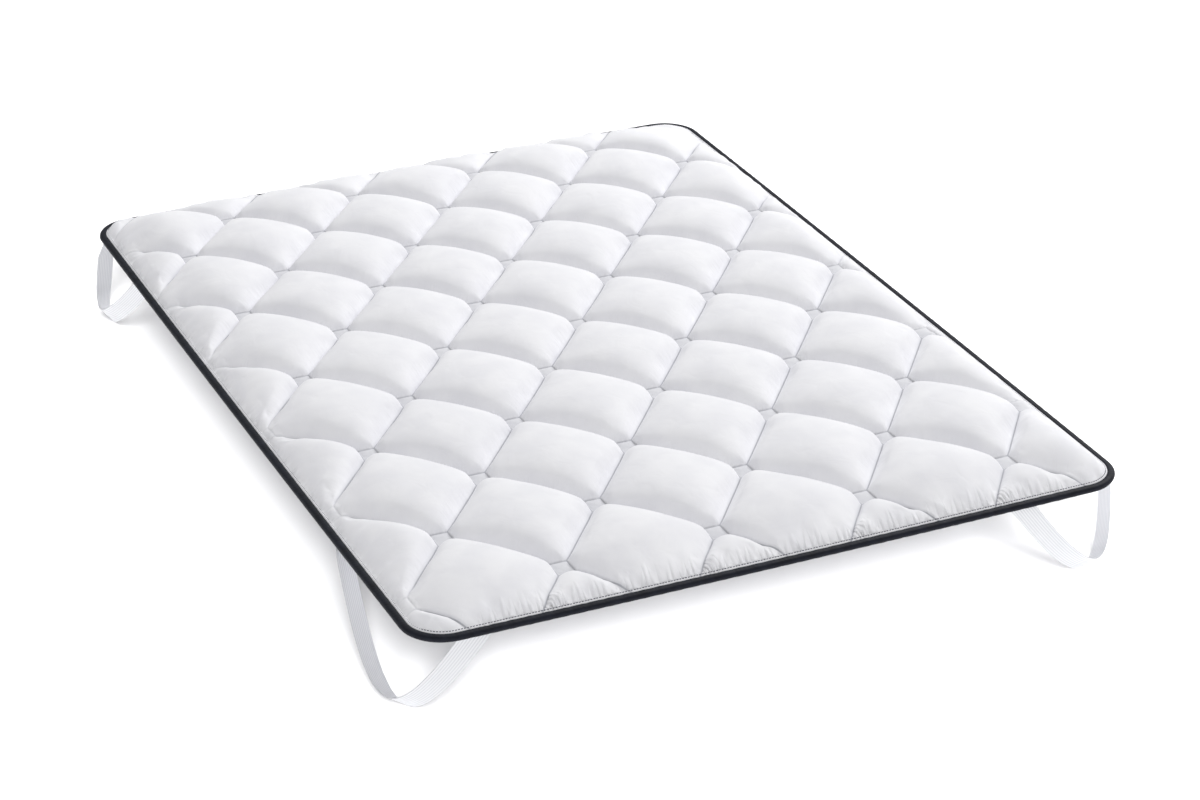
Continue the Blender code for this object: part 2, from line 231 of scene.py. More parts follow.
def seam_painted_shade(tree, place, across, along):
    """Painted shade, with a thread line, that darkens the cloth at its seams and small squares, from
    distances in cells.
    """
    both = add_node(tree, "Math", {"operation": "ADD"}, links={0: across, 1: along})
    past = add_node(tree, "Math", {"operation": "SUBTRACT"}, {1: SQUARE},
                    {0: both.outputs[0]}).outputs[0]
    inside = add_node(tree, "Math", {"operation": "MULTIPLY"}, {1: -1.0}, {0: past})
    nearest = add_node(tree, "Math", {"operation": "MINIMUM"}, links={0: across, 1: along})
    seam = add_node(tree, "Math", {"operation": "MAXIMUM"},
                    links={0: nearest.outputs[0], 1: inside.outputs[0]})
    # the seam round a small square is drawn 1 mm inside its edge, and a little wider
    drawn = add_node(tree, "Math", {"operation": "ADD"}, {1: 0.005}, {0: past})
    ring = add_node(tree, "Math", {"operation": "ABSOLUTE"}, links={0: drawn.outputs[0]})
    border = add_node(tree, "Math", {"operation": "MULTIPLY"}, {1: 0.55}, {0: ring.outputs[0]})
    line = add_node(tree, "Math", {"operation": "MINIMUM"},
                    links={0: seam.outputs[0], 1: border.outputs[0]})
    # a needle line 3 mm wide, partly the thread and partly painted shade in the seam's valley, with
    # painted shade for 5 mm beside it; a cell is 228 mm across
    thread_line_and_shade = add_node(tree, "MapRange", SMOOTH,
                      {"From Min": 0.0028, "From Max": 0.0085, "To Min": 0.48, "To Max": 0.0},
                      {"Value": line.outputs[0]})
    painted_valley_shade = add_node(tree, "MapRange", SMOOTH,
                       {"From Min": 0.0, "From Max": 0.024, "To Min": 0.30, "To Max": 0.0},
                       {"Value": seam.outputs[0]})
    # painted shade over each small square, where it lies low between the puffs
    patch = add_node(tree, "MapRange", SMOOTH,
                     {"From Min": -0.030, "From Max": 0.004, "To Min": 0.34, "To Max": 0.0},
                     {"Value": past})
    darker = add_node(tree, "Math", {"operation": "MAXIMUM"},
                      links={0: painted_valley_shade.outputs["Result"], 1: patch.outputs["Result"]})
    lines = add_node(tree, "Math", {"operation": "ADD", "use_clamp": True},
                     links={0: darker.outputs[0], 1: thread_line_and_shade.outputs["Result"]})
    # the seams grow faint over the last 50 mm before the long sides
    sideways = add_node(tree, "SeparateXYZ", links={"Vector": place}).outputs["X"]
    out = add_node(tree, "Math", {"operation": "ABSOLUTE"}, links={0: sideways})
    faint = add_node(tree, "MapRange", SMOOTH,
                     {"From Min": HALF_WIDTH - 0.075, "From Max": HALF_WIDTH - 0.025,
                      "To Min": 1.0, "To Max": 0.2}, {"Value": out.outputs[0]})
    sewn = add_node(tree, "Math", {"operation": "MULTIPLY"},
                    links={0: lines.outputs[0], 1: faint.outputs["Result"]})
    return sewn.outputs[0]


def gather_height(tree, rims):
    """Ridges 12.5 mm apart beside the binding, each with its own length of 10 to 38 mm."""
    run = rims.outputs["X"]
    wander = add_node(tree, "TexNoise", {"noise_dimensions": "1D"},
                      {"Scale": 34.0, "Detail": 1.0}, {"W": run})
    shift = add_node(tree, "Math", {"operation": "MULTIPLY_ADD"}, {1: 0.011},
                     {0: wander.outputs["Fac"], 2: run})
    turn = add_node(tree, "Math", {"operation": "MULTIPLY"},
                    {1: math.pi / GATHER_PITCH}, {0: shift.outputs[0]})
    wave = add_node(tree, "Math", {"operation": "SINE"}, links={0: turn.outputs[0]})
    ridge = add_node(tree, "Math", {"operation": "ABSOLUTE"}, links={0: wave.outputs[0]})
    lively = add_node(tree, "TexNoise", {"noise_dimensions": "1D"},
                      {"Scale": 62.0, "Detail": 0.0}, {"W": run})
    reach = add_node(tree, "MapRange", values={
        "From Min": 0.30, "From Max": 0.70, "To Min": STITCH_INSET + 0.010,
        "To Max": STITCH_INSET + 0.038}, links={"Value": lively.outputs["Fac"]})
    fade = add_node(tree, "MapRange", SMOOTH,
                    {"From Min": STITCH_INSET, "To Min": 1.0, "To Max": 0.0},
                    {"Value": rims.outputs["Y"], "From Max": reach.outputs["Result"]})
    start = add_node(tree, "MapRange",
                     values={"From Min": STITCH_INSET - 0.0005, "From Max": STITCH_INSET + 0.0020},
                     links={"Value": rims.outputs["Y"]})
    held = add_node(tree, "Math", {"operation": "MULTIPLY"},
                    links={0: fade.outputs["Result"], 1: start.outputs["Result"]})
    gathers = add_node(tree, "Math", {"operation": "MULTIPLY"},
                       links={0: ridge.outputs[0], 1: held.outputs[0]})
    return gathers.outputs[0]


def crescent_height(tree, place, seams, rims):
    """Rings 7.8 mm apart round the left corner of each part cell on the near edge."""
    inset = add_node(tree, "Math", {"operation": "SUBTRACT"}, {1: STITCH_INSET},
                     {0: rims.outputs["Y"]}).outputs[0]
    share = add_node(tree, "Math", {"operation": "FRACT"}, links={0: seams.outputs["Y"]}).outputs[0]
    slant = add_node(tree, "Math", {"operation": "MULTIPLY"},
                     {1: CELL_WIDTH / CELL_LENGTH}, {0: inset})
    beside = add_node(tree, "Math", {"operation": "MULTIPLY_ADD"}, {1: CELL_WIDTH},
                      {0: share, 2: slant.outputs[0]})
    square = add_node(tree, "Math", {"operation": "POWER"}, {1: 2.0}, {0: beside.outputs[0]})
    spread = add_node(tree, "Math", {"operation": "MULTIPLY_ADD"},
                      links={0: inset, 1: inset, 2: square.outputs[0]})
    radius = add_node(tree, "Math", {"operation": "SQRT"}, links={0: spread.outputs[0]})
    rings = add_node(tree, "Math", {"operation": "MULTIPLY"},
                     {1: math.pi / CRESCENT_PITCH}, {0: radius.outputs[0]})
    swell = add_node(tree, "Math", {"operation": "SINE"}, links={0: rings.outputs[0]})
    folded = add_node(tree, "Math", {"operation": "ABSOLUTE"}, links={0: swell.outputs[0]})
    near = add_node(tree, "MapRange", SMOOTH,
                    {"From Min": 0.020, "From Max": 0.052, "To Min": 1.0, "To Max": 0.0},
                    {"Value": radius.outputs[0]})
    end = add_node(tree, "MapRange",
                   values={"From Min": -HALF_LENGTH + 0.075, "From Max": -HALF_LENGTH + 0.085,
                           "To Min": 1.0, "To Max": 0.0},
                   links={"Value": add_node(tree, "SeparateXYZ",
                                            links={"Vector": place}).outputs["Y"]})
    local = add_node(tree, "Math", {"operation": "MULTIPLY"},
                     links={0: near.outputs["Result"], 1: end.outputs["Result"]})
    crescents = add_node(tree, "Math", {"operation": "MULTIPLY"},
                         links={0: folded.outputs[0], 1: local.outputs[0]})
    return crescents.outputs[0]


def pucker_height(tree, quilting, across, along):
    """Soft folds 9 mm apart and 45 mm long, square to the seams, that fade 36 mm from them."""
    tugs = []
    for stretch, distance in (((5.0, 26.0, 1.0), across), ((26.0, 5.0, 1.0), along)):
        turned = add_node(tree, "VectorMath", {"operation": "MULTIPLY"}, {1: stretch}, {0: quilting})
        pull = add_node(tree, "TexNoise", {"noise_dimensions": "2D"},
                        {"Scale": 1.0, "Detail": 1.0, "Distortion": 0.4},
                        {"Vector": turned.outputs[0]})
        weight = add_node(tree, "MapRange", SMOOTH,
                          {"From Min": 0.0, "From Max": 0.16, "To Min": 1.0, "To Max": 0.0},
                          {"Value": distance})
        tug = add_node(tree, "Math", {"operation": "MULTIPLY"},
                       links={0: pull.outputs["Fac"], 1: weight.outputs["Result"]})
        tugs.append(tug.outputs[0])
    puckers = add_node(tree, "Math", {"operation": "ADD"}, links={0: tugs[0], 1: tugs[1]})
    return puckers.outputs[0]


def brushed_polyester_cloth():
    """Brushed microfibre polyester, warp knitted: soft white and matt, with a faint bloom."""
    material, tree, shader = new_material("brushed_polyester_cloth", {
        "Roughness": 0.88, "Specular IOR Level": 0.25, "Sheen Weight": 0.10, "Sheen Roughness": 0.5})
    place = add_node(tree, "TexCoord").outputs["Object"]
    quilting = add_node(tree, "UVMap", {"uv_map": "quilting"}).outputs["UV"]
    seams = add_node(tree, "SeparateXYZ", links={"Vector": quilting})
    rim = add_node(tree, "UVMap", {"uv_map": "rim"}).outputs["UV"]
    rims = add_node(tree, "SeparateXYZ", links={"Vector": rim})
    # distance to the nearest seam of each direction, in cells
    across = add_node(tree, "Math", {"operation": "PINGPONG"}, {1: 0.5},
                      {0: seams.outputs["X"]}).outputs[0]
    along = add_node(tree, "Math", {"operation": "PINGPONG"}, {1: 0.5},
                     {0: seams.outputs["Y"]}).outputs[0]

    # slow unevenness of the filling under the cloth, in patches of about 60 mm
    cloud = add_node(tree, "TexNoise", values={"Scale": 16.0, "Detail": 2.0},
                     links={"Vector": place})
    tone = add_node(tree, "ValToRGB", links={"Fac": cloud.outputs["Fac"]},
                    stops=((0.35, "F1F1F5"), (0.65, "F7F7FA")))
    # the seams and small squares are mixed towards grey: a thread line and painted shade
    coat = add_node(tree, "Mix", {"data_type": "RGBA"},
                    {7: linear("A4A6AE")},
                    {0: seam_painted_shade(tree, place, across, along), 6: tone.outputs["Color"]})
    tree.links.new(coat.outputs[2], shader.inputs["Base Color"])

    # knitted loops of 0.7 mm are too fine to show, so the grain is drawn at 1.6 mm
    grain = add_node(tree, "TexNoise", values={"Scale": 620.0, "Detail": 2.0},
                     links={"Vector": place})
    soft = add_node(tree, "TexNoise",
                    values={"Scale": 24.0, "Detail": 2.0, "Roughness": 0.5, "Distortion": 0.6},
                    links={"Vector": place})
    normal = None
    for height, depth in ((gather_height(tree, rims), GATHER_DEPTH),
                          (crescent_height(tree, place, seams, rims), CRESCENT_DEPTH),
                          (pucker_height(tree, quilting, across, along), PUCKER_DEPTH),
                          (soft.outputs["Fac"], SWELL_DEPTH),
                          (grain.outputs["Fac"], GRAIN_DEPTH)):
        links = {"Height": height}
        if normal:
            links["Normal"] = normal
        normal = add_node(tree, "Bump", values={"Strength": 1.0, "Distance": depth},
                          links=links).outputs["Normal"]
    tree.links.new(normal, shader.inputs["Normal"])
    return material


def navy_twill_tape():
    """Woven polyester twill tape, a near-black navy that takes a soft grey-blue sheen on folds."""
    material, tree, shader = new_material("navy_twill_tape", {
        "Roughness": 0.60, "Specular IOR Level": 0.17, "Sheen Weight": 0.04, "Sheen Roughness": 0.4,
        "Sheen Tint": linear("8D93A6")})
    place = add_node(tree, "TexCoord").outputs["UV"]
    # twill lines 1.1 mm apart are too fine to show, so they are drawn 6 mm apart
    twill = add_node(tree, "TexWave",
                     {"wave_type": "BANDS", "bands_direction": "DIAGONAL"},
                     {"Scale": 75.0, "Distortion": 1.5, "Detail": 1.0, "Detail Scale": 2.0},
                     {"Vector": place})
    patches = add_node(tree, "TexNoise", values={"Scale": 60.0, "Detail": 3.0},
                       links={"Vector": place})
    tone = add_node(tree, "ValToRGB", links={"Fac": patches.outputs["Fac"]},
                    stops=((0.30, "0D0F17"), (0.70, "1B1E29")))
    tree.links.new(tone.outputs["Color"], shader.inputs["Base Color"])
    bump = add_node(tree, "Bump", values={"Strength": 0.35, "Distance": 0.0003},
                    links={"Height": twill.outputs["Fac"]})
    tree.links.new(bump.outputs["Normal"], shader.inputs["Normal"])
    return material


def white_ribbed_elastic():
    """Knitted elastic: covered rubber cords side by side, so it is ribbed along its length."""
    material, tree, shader = new_material("white_ribbed_elastic", {
        "Roughness": 0.62, "Specular IOR Level": 0.35, "Sheen Weight": 0.10})
    place = add_node(tree, "TexCoord").outputs["UV"]
    across = add_node(tree, "SeparateXYZ", links={"Vector": place}).outputs["X"]
    # ribs 4.4 mm apart, with painted shade in the groove between them
    turn = add_node(tree, "Math", {"operation": "MULTIPLY"},
                    {1: 2 * math.pi * RIBS / STRAP_WIDTH}, {0: across})
    wave = add_node(tree, "Math", {"operation": "COSINE"}, links={0: turn.outputs[0]})
    groove_painted_shade = add_node(tree, "Math", {"operation": "MULTIPLY_ADD"}, {1: 0.5, 2: 0.5},
                      {0: wave.outputs[0]})
    tone = add_node(tree, "ValToRGB", links={"Fac": groove_painted_shade.outputs[0]},
                    stops=((0.0, "EFF0F2"), (1.0, "DBDCE0")))
    tree.links.new(tone.outputs["Color"], shader.inputs["Base Color"])
    # weft threads cross the ribs every 1.2 mm, and are drawn at 2.4 mm so that they show
    weft = add_node(tree, "TexWave", {"wave_type": "BANDS", "bands_direction": "Y"},
                    {"Scale": 130.0, "Distortion": 0.8, "Detail": 1.0}, {"Vector": place})
    bump = add_node(tree, "Bump", values={"Strength": 0.1, "Distance": 0.0001},
                    links={"Height": weft.outputs["Fac"]})
    tree.links.new(bump.outputs["Normal"], shader.inputs["Normal"])
    return material


def painted_shade_thread():
    """Spun polyester sewing thread, coloured dark grey all over as painted shade of its stitch holes.
    """
    material, tree, shader = new_material("painted_shade_thread", {"Roughness": 0.6})
    place = add_node(tree, "TexCoord").outputs["Object"]
    fibre = add_node(tree, "TexNoise", values={"Scale": 900.0, "Detail": 2.0},
                     links={"Vector": place})
    # these greys are painted shade of the stitch holes
    tone = add_node(tree, "ValToRGB", links={"Fac": fibre.outputs["Fac"]},
                    stops=((0.0, "4E5059"), (1.0, "6C6F79")))
    tree.links.new(tone.outputs["Color"], shader.inputs["Base Color"])
    return material


def white_studio_floor():
    """Matt white acrylic, lit a little from below, as a product table is."""
    return new_material("white_studio_floor", {
        "Base Color": linear("B4B4B5"), "Roughness": 1.0, "Specular IOR Level": 0.0,
        "Emission Color": linear("FFFFFF"), "Emission Strength": 0.145})[0]


def inset_at(point):
    """How far a point lies inside the rounded edge."""
    over_x = abs(point.x) - CORNER_X
    over_y = abs(point.y) - CORNER_Y
    if over_x > 0 and over_y > 0:
        return CORNER_RADIUS - math.hypot(over_x, over_y)
    return CORNER_RADIUS - max(over_x, over_y)


def shoulder(share, bend):
    """Rise from 0 to 1 that is steep at first, as stuffed cloth is beside a seam."""
    return 1 - (1 - min(max(share, 0.0), 1.0)) ** bend


def smooth_step(low, high, value):
    share = min(max((value - low) / (high - low), 0.0), 1.0)
    return share * share * (3 - 2 * share)


def lattice_place(a, b):
    """Where the quilting's point (a, b) lies on the pad."""
    column = (a + b) / 2
    row = (a - b) / 2
    x = FIRST_CROSSING[0] + CELL_WIDTH * column
    y = FIRST_CROSSING[1] + CELL_LENGTH * row
    x -= WIDTH_CLOSING * column * row + WIDTH_LEAN * row ** 2
    y += LENGTH_BOW * column ** 2 - LENGTH_CLOSING * row ** 2
    return Vector((x - HALF_WIDTH, y - HALF_LENGTH, 0.0))


def from_seam(value):
    """Distance to the nearest seam, in cells: 0 on it and 0.5 in the middle."""
    return abs(value - round(value))


def past_square(a, b):
    """Distance past the edge of a small square, in cells: below 0 inside it."""
    return from_seam(a) + from_seam(b) - SQUARE


def far_corner(point):
    """1 at the far right corner, where the photo shows the binding, and 0 away from it."""
    by_side = 1 - smooth_step(0.08, 0.21, HALF_WIDTH - point.x)
    return by_side * (1 - smooth_step(0.08, 0.30, HALF_LENGTH - point.y))


def rise_share(point):
    """How far the puffs have risen from the edges: 0 at the stitches and 1 over the middle."""
    flatter = 1 + (FLAT_CORNER - 1) * far_corner(point)
    side_rise = LEFT_RISE if point.x < 0 else RIGHT_RISE * flatter
    shares = [(HALF_WIDTH - abs(point.x) - STITCH_INSET) / side_rise,
              (HALF_LENGTH + point.y - STITCH_INSET) / NEAR_RISE,
              (HALF_LENGTH - point.y - STITCH_INSET) / (FAR_RISE * flatter)]
    share = max(min(shares), 0.0)
    beside = sorted(shares)[1]
    if share < 1 and beside < 1:
        share *= 1 - CORNER_HOLD * (1 - max(beside, 0.0)) ** 2
    return shoulder(share, EDGE_BEND)


def top_height(a, b, point, inset):
    """Height of the top face: seams, puffed cells and the small pillowed squares."""
    across = from_seam(a)
    along = from_seam(b)
    past = past_square(a, b)
    climb = shoulder((inset - STITCH_INSET) / (CHANNEL_RISE * (1 + far_corner(point))), CLIMB_BEND)
    height = RIM_TOP + (CHANNEL_HEIGHT - RIM_TOP) * climb
    if past <= ON_LINE:
        pillow = max(1 - (1 + past / SQUARE) ** 2, 0.0) ** PILLOW_ROUND
        return height + PILLOW_HEIGHT * climb * pillow
    if min(across, along) < ON_LINE:
        return height - SEAM_NOTCH * climb * min(past / NOTCH_START, 1.0)
    parts = (2 * across, 2 * along, past / SQUARE_REACH)
    filled = sum(part ** -CORNER_FILL for part in parts) ** (-1 / CORNER_FILL)
    filled = min(filled * (2 + (SQUARE_REACH / (1 - SQUARE)) ** CORNER_FILL) ** (1 / CORNER_FILL), 1.0)
    puff = (1 - (1 - filled) ** 2) ** PUFF_ROUND
    return height + PUFF_HEIGHT * puff * rise_share(point)


def bowed(point):
    """The same point once the middle of each edge stands out a little."""
    side_share = point.x / HALF_WIDTH
    end_share = point.y / HALF_LENGTH
    x = point.x + SIDE_BOW * side_share * (1 - end_share ** 2)
    y = point.y + END_BOW * end_share * (1 - side_share ** 2)
    return Vector((x, y, point.z))


def outline(inset, corner_steps=12):
    """Points round the rounded edge at one inset, anticlockwise."""
    radius = CORNER_RADIUS - inset
    points = []
    for quarter, (side, end) in enumerate(((1, -1), (1, 1), (-1, 1), (-1, -1))):
        centre = Vector((side * CORNER_X, end * CORNER_Y, 0))
        for step in range(corner_steps + 1):
            angle = math.pi / 2 * (quarter - 1 + step / corner_steps)
            points.append(centre + radius * Vector((math.cos(angle), math.sin(angle), 0.0)))
    return points


def add_object(name, data):
    thing = bpy.data.objects.new(name, data)
    bpy.context.scene.collection.objects.link(thing)
    return thing


def near_outline(bm, reach):
    """The net's geometry that lies nearer the edge than the reach."""
    faces = [face for face in bm.faces if min(inset_at(v.co) for v in face.verts) < reach]
    # dicts keep their order, so that the cuts are the same each run
    edges = dict.fromkeys(edge for face in faces for edge in face.edges)
    verts = dict.fromkeys(vert for face in faces for vert in face.verts)
    return list(verts) + list(edges) + faces


def quilting_net(bm, a_layer, b_layer):
    """Flat net of the quilting, with an edge along each seam and round each small square."""
    steps = len(KNOTS)
    bmesh.ops.create_grid(bm, x_segments=CELLS_A * steps, y_segments=CELLS_B * steps, size=0.5)
    for vert in bm.verts:
        step_a = round((vert.co.x + 0.5) * CELLS_A * steps)
        step_b = round((vert.co.y + 0.5) * CELLS_B * steps)
        vert[a_layer] = FIRST_A + step_a // steps + KNOTS[step_a % steps]
        vert[b_layer] = FIRST_B + step_b // steps + KNOTS[step_b % steps]
        vert.co = lattice_place(vert[a_layer], vert[b_layer])
    outside = [vert for vert in bm.verts if inset_at(vert.co) < -0.03]
    bmesh.ops.delete(bm, geom=outside, context="VERTS")
    for face in list(bm.faces):
        ends = [vert for vert in face.verts
                if abs(past_square(vert[a_layer], vert[b_layer])) < KNOT_MATCH]
        if len(ends) == 2 and not any(edge.verts[0] in ends and edge.verts[1] in ends
                                      for edge in face.edges):
            bmesh.utils.face_split(face, ends[0], ends[1])


def trim_net(bm, inset, sliver):
    """Cut away the net outside the rounded edge and join points that lie too close to the cut."""
    ring = outline(inset)
    for start, end in zip(ring, ring[1:] + ring[:1]):
        run = (end - start).normalized()
        bmesh.ops.bisect_plane(bm, geom=near_outline(bm, inset + 0.02), dist=0.00001,
                               plane_co=start, plane_no=(run.y, -run.x, 0.0), clear_outer=True)
    edge_points = [vert for vert in bm.verts if vert.is_boundary]
    nearby = [vert for vert in bm.verts if inset_at(vert.co) < inset + 0.02]
    pairs = bmesh.ops.find_doubles(bm, verts=nearby, keep_verts=edge_points, dist=sliver)
    bmesh.ops.weld_verts(bm, targetmap=pairs["targetmap"])
    bmesh.ops.remove_doubles(bm, verts=[v for v in bm.verts if v.is_boundary], dist=sliver)


def refine_border(bm):
    """Halve the net's faces beside the binding, where the cloth is gathered."""
    for side in (-1, 1):
        for place, direction in (((side * (HALF_WIDTH - FINE_INSET), 0, 0), (1, 0, 0)),
                                 ((0, side * (HALF_LENGTH - FINE_INSET), 0), (0, 1, 0))):
            bmesh.ops.bisect_plane(bm, geom=bm.verts[:] + bm.edges[:] + bm.faces[:], dist=0.0005,
                                   plane_co=place, plane_no=direction)
    border = [edge for edge in bm.edges
              if all(inset_at(v.co) < FINE_INSET + 0.0005 for v in edge.verts)]
    bmesh.ops.subdivide_edges(bm, edges=border, cuts=1, use_grid_fill=True)


def outward(edge):
    """Direction square to an open edge, away from the middle of the pad."""
    start, end = (vert.co for vert in edge.verts)
    square = Vector((end.y - start.y, start.x - end.x, 0.0)).normalized()
    return square if square.dot(start + end) > 0 else -square


def carry_edge(bm, distance, height):
    """Extrude the open edge outwards by a distance and set its height."""
    bmesh.ops.extrude_edge_only(bm, edges=[edge for edge in bm.edges if edge.is_boundary])
    moves = {}
    for edge in bm.edges:
        if edge.is_boundary:
            for vert in edge.verts:
                moves.setdefault(vert, []).append(outward(edge))
    for vert, (first, second) in moves.items():
        vert.co += (first + second) * distance / (1 + first.dot(second))
        vert.co.z = height


def finish_piece(bm, name, material):
    """Bow the piece's edges, lift it to its place and make its object."""
    for vert in bm.verts:
        vert.co = bowed(vert.co) + Vector((0, 0, RIM_HEIGHT))
    mesh = bpy.data.meshes.new(name)
    bm.to_mesh(mesh)
    bm.free()
    mesh.materials.append(material)
    mesh.shade_smooth()
    return add_object(name, mesh)


def lattice_at(point):
    """The quilting's (a, b) at a point on the pad."""
    across = point.x + HALF_WIDTH - FIRST_CROSSING[0]
    up = point.y + HALF_LENGTH - FIRST_CROSSING[1]
    column = across / CELL_WIDTH
    row = up / CELL_LENGTH
    for _ in range(5):
        column = (across + WIDTH_CLOSING * column * row + WIDTH_LEAN * row ** 2) / CELL_WIDTH
        row = (up + LENGTH_CLOSING * row ** 2 - LENGTH_BOW * column ** 2) / CELL_LENGTH
    return column + row, column - row


def top_cloth():
    """The pad's top cloth, open at its stitched edge, with its seams held in the layer of pins."""
    bm = bmesh.new()
    a_layer = bm.verts.layers.float.new("a")
    b_layer = bm.verts.layers.float.new("b")
    quilting_net(bm, a_layer, b_layer)
    trim_net(bm, STITCH_INSET, 0.0022)
    refine_border(bm)
    pins = bm.verts.layers.float.new("pin")
    for vert in bm.verts:
        a, b = lattice_at(vert.co)
        inset = STITCH_INSET if vert.is_boundary else inset_at(vert.co)
        vert.co.z = top_height(a, b, vert.co, inset)
        sewn = min(from_seam(a), from_seam(b), past_square(a, b)) < SEAM_MATCH
        vert[pins] = 1.0 if sewn or vert.is_boundary else 0.0
        if vert.is_boundary:
            vert.co.z = STITCH_HEIGHT
    bmesh.ops.recalc_face_normals(bm, faces=bm.faces)
    return bm


def close_pad(bm):
    """Carry the cloth round the rim, under the binding, and close it below."""
    # level under the stitches, down to the strip, out to the rim, and back in below
    for distance, height in ((0.0014, STITCH_HEIGHT), (0.0018, STRIP_TOP), (0.0008, RIM_TOP),
                             (0.0094, RIM_TOP), (0.0, -RIM_TOP), (RIM_INSET - TOP_INSET, -RIM_TOP),
                             (TOP_INSET - UNDERSIDE_INSET, -UNDERSIDE_DROP)):
        carry_edge(bm, distance, height)
    bmesh.ops.holes_fill(bm, edges=[edge for edge in bm.edges if edge.is_boundary])
    bmesh.ops.recalc_face_normals(bm, faces=bm.faces)


def crease_seams(bm):
    """Keep the seams crisp when the cloth is subdivided."""
    crease = bm.edges.layers.float.new("crease_edge")
    for edge in bm.edges:
        ends = [lattice_at(vert.co) for vert in edge.verts]
        on_a = all(from_seam(a) < SEAM_MATCH for a, b in ends)
        on_b = all(from_seam(b) < SEAM_MATCH for a, b in ends)
        inside = any(past_square(a, b) < -SEAM_MATCH for a, b in ends)
        if all(abs(past_square(a, b)) < SEAM_MATCH for a, b in ends):
            edge[crease] = 0.9
        elif (on_a or on_b) and not inside:
            edge[crease] = 1.0


def stuff(piece):
    """Let the filling swell the cloth between its seams, and limit how far each point moves."""
    group = piece.vertex_groups.new(name="held")
    held = piece.data.attributes["pin"].data
    for index, item in enumerate(held):
        if item.value > 0:
            group.add([index], item.value, "REPLACE")
    before = [vert.co.copy() for vert in piece.data.vertices]
    cloth = piece.modifiers.new("cloth", "CLOTH")
    for name, value in CLOTH_SETTINGS.items():
        setattr(cloth.settings, name, value)
    cloth.settings.effector_weights.gravity = 0
    cloth.collision_settings.use_collision = False
    cloth.collision_settings.use_self_collision = False
    scene = bpy.context.scene
    for number in range(1, STUFF_FRAMES + 1):
        scene.frame_set(number)
        bpy.context.view_layer.update()
    shaped = piece.evaluated_get(bpy.context.evaluated_depsgraph_get())
    after = [vert.co.copy() for vert in shaped.data.vertices]
    piece.modifiers.remove(cloth)
    scene.frame_set(1)
    for vert, old, new in zip(piece.data.vertices, before, after):
        move = new - old
        if move.length > STUFF_LIMIT:
            move *= STUFF_LIMIT / move.length
        vert.co = old + move


def edge_run(point):
    """How far along its own edge a point near the binding lies, and how far from the corner."""
    from_side = HALF_WIDTH - abs(point.x)
    from_end = HALF_LENGTH - abs(point.y)
    if from_side < from_end:
        return point.y + SIDE_START * math.copysign(1, point.x), from_end
    return point.x + END_START * math.copysign(1, point.y), from_side


def scallop_border(bm):
    """Broad uneven waves where the filling meets the binding."""
    for vert in bm.verts:
        inset = inset_at(vert.co)
        if inset < SCALLOP_REACH and not vert.is_boundary:
            run, from_corner = edge_run(vert.co)
            # waves 42 and 71 mm long, the first unevenly spaced
            wave = 0.6 * math.sin(run * 151.0 + 0.8 * math.sin(run * 23.0))
            wave += 0.4 * math.sin(run * 89.0)
            depth = SCALLOP_DEPTH * smooth_step(*CORNER_CALM, from_corner)
            depth *= smooth_step(0.0, 0.012, inset - STITCH_INSET)
            vert.co.z += depth * wave * (1 - smooth_step(0.020, 0.075, inset - STITCH_INSET))


def unroll_cloth(bm):
    """UV maps of the pad: one counts the quilting's cells, one runs along and in from the edge."""
    quilting = bm.loops.layers.uv.new("quilting")
    rim = bm.loops.layers.uv.new("rim")
    for vert in bm.verts:
        cell = lattice_at(vert.co)
        run, from_corner = edge_run(vert.co)
        calm = 1 - smooth_step(*CORNER_CALM, from_corner)
        if HALF_WIDTH - abs(vert.co.x) < HALF_LENGTH - abs(vert.co.y):
            calm = max(calm, SIDE_CALM)
        place = (run, inset_at(vert.co) + CALM_SHIFT * calm if vert.co.z > 0 else 0.0)
        for loop in vert.link_loops:
            loop[quilting].uv = cell
            loop[rim].uv = place


def subdivided(piece):
    """A copy of the piece's mesh after one subdivision."""
    smoother = piece.modifiers.new("smooth", "SUBSURF")
    smoother.levels = 1
    smoother.render_levels = 1
    shaped = piece.evaluated_get(bpy.context.evaluated_depsgraph_get())
    bm = bmesh.new()
    bm.from_mesh(shaped.data)
    return bm


def quilted_pad(material):
    bm = top_cloth()
    crease_seams(bm)
    cut = bpy.data.meshes.new("pad_cut")
    bm.to_mesh(cut)
    bm.free()
    draft = add_object("pad_cut", cut)
    stuff(draft)
    bm = subdivided(draft)
    bpy.data.objects.remove(draft, do_unlink=True)
    for name in ("a", "b", "pin"):
        bm.verts.layers.float.remove(bm.verts.layers.float[name])
    scallop_border(bm)
    close_pad(bm)
    unroll_cloth(bm)
    return finish_piece(bm, "pad_cover", material)


def edge_run_points(inset, step):
    """Evenly spaced points and outward directions all round the edge at one inset."""
    ring = outline(inset, corner_steps=48)
    points = []
    spare = 0.0
    for start, end in zip(ring, ring[1:] + ring[:1]):
        run = end - start
        length = run.length
        if length < 1e-6:
            continue
        direction = run / length
        at = spare
        while at < length:
            points.append((start + direction * at, Vector((direction.y, -direction.x, 0.0))))
            at += step
        spare = at - length
    return points


def tape_profile(bm):
    """Flat outline of the folded tape, as a closed wire in the X-Z plane."""
    outer = list(TAPE_OUTSIDE) + [(inset, -height) for inset, height in TAPE_OUTSIDE[-2::-1]]
    inner = []
    for inset, height in outer:
        sink = TAPE_THICKNESS if height > 0 else -TAPE_THICKNESS if height < 0 else 0.0
        inner.append((max(inset, 0.0012) if abs(height) > 0.0012 else inset + 0.0012, height - sink))
    wire = outer + inner[::-1]
    verts = [bm.verts.new((-inset, 0.0, height)) for inset, height in wire]
    return [bm.edges.new(pair) for pair in zip(verts, verts[1:] + verts[:1])]


def of_kind(items, kind):
    return [item for item in items if isinstance(item, kind)]


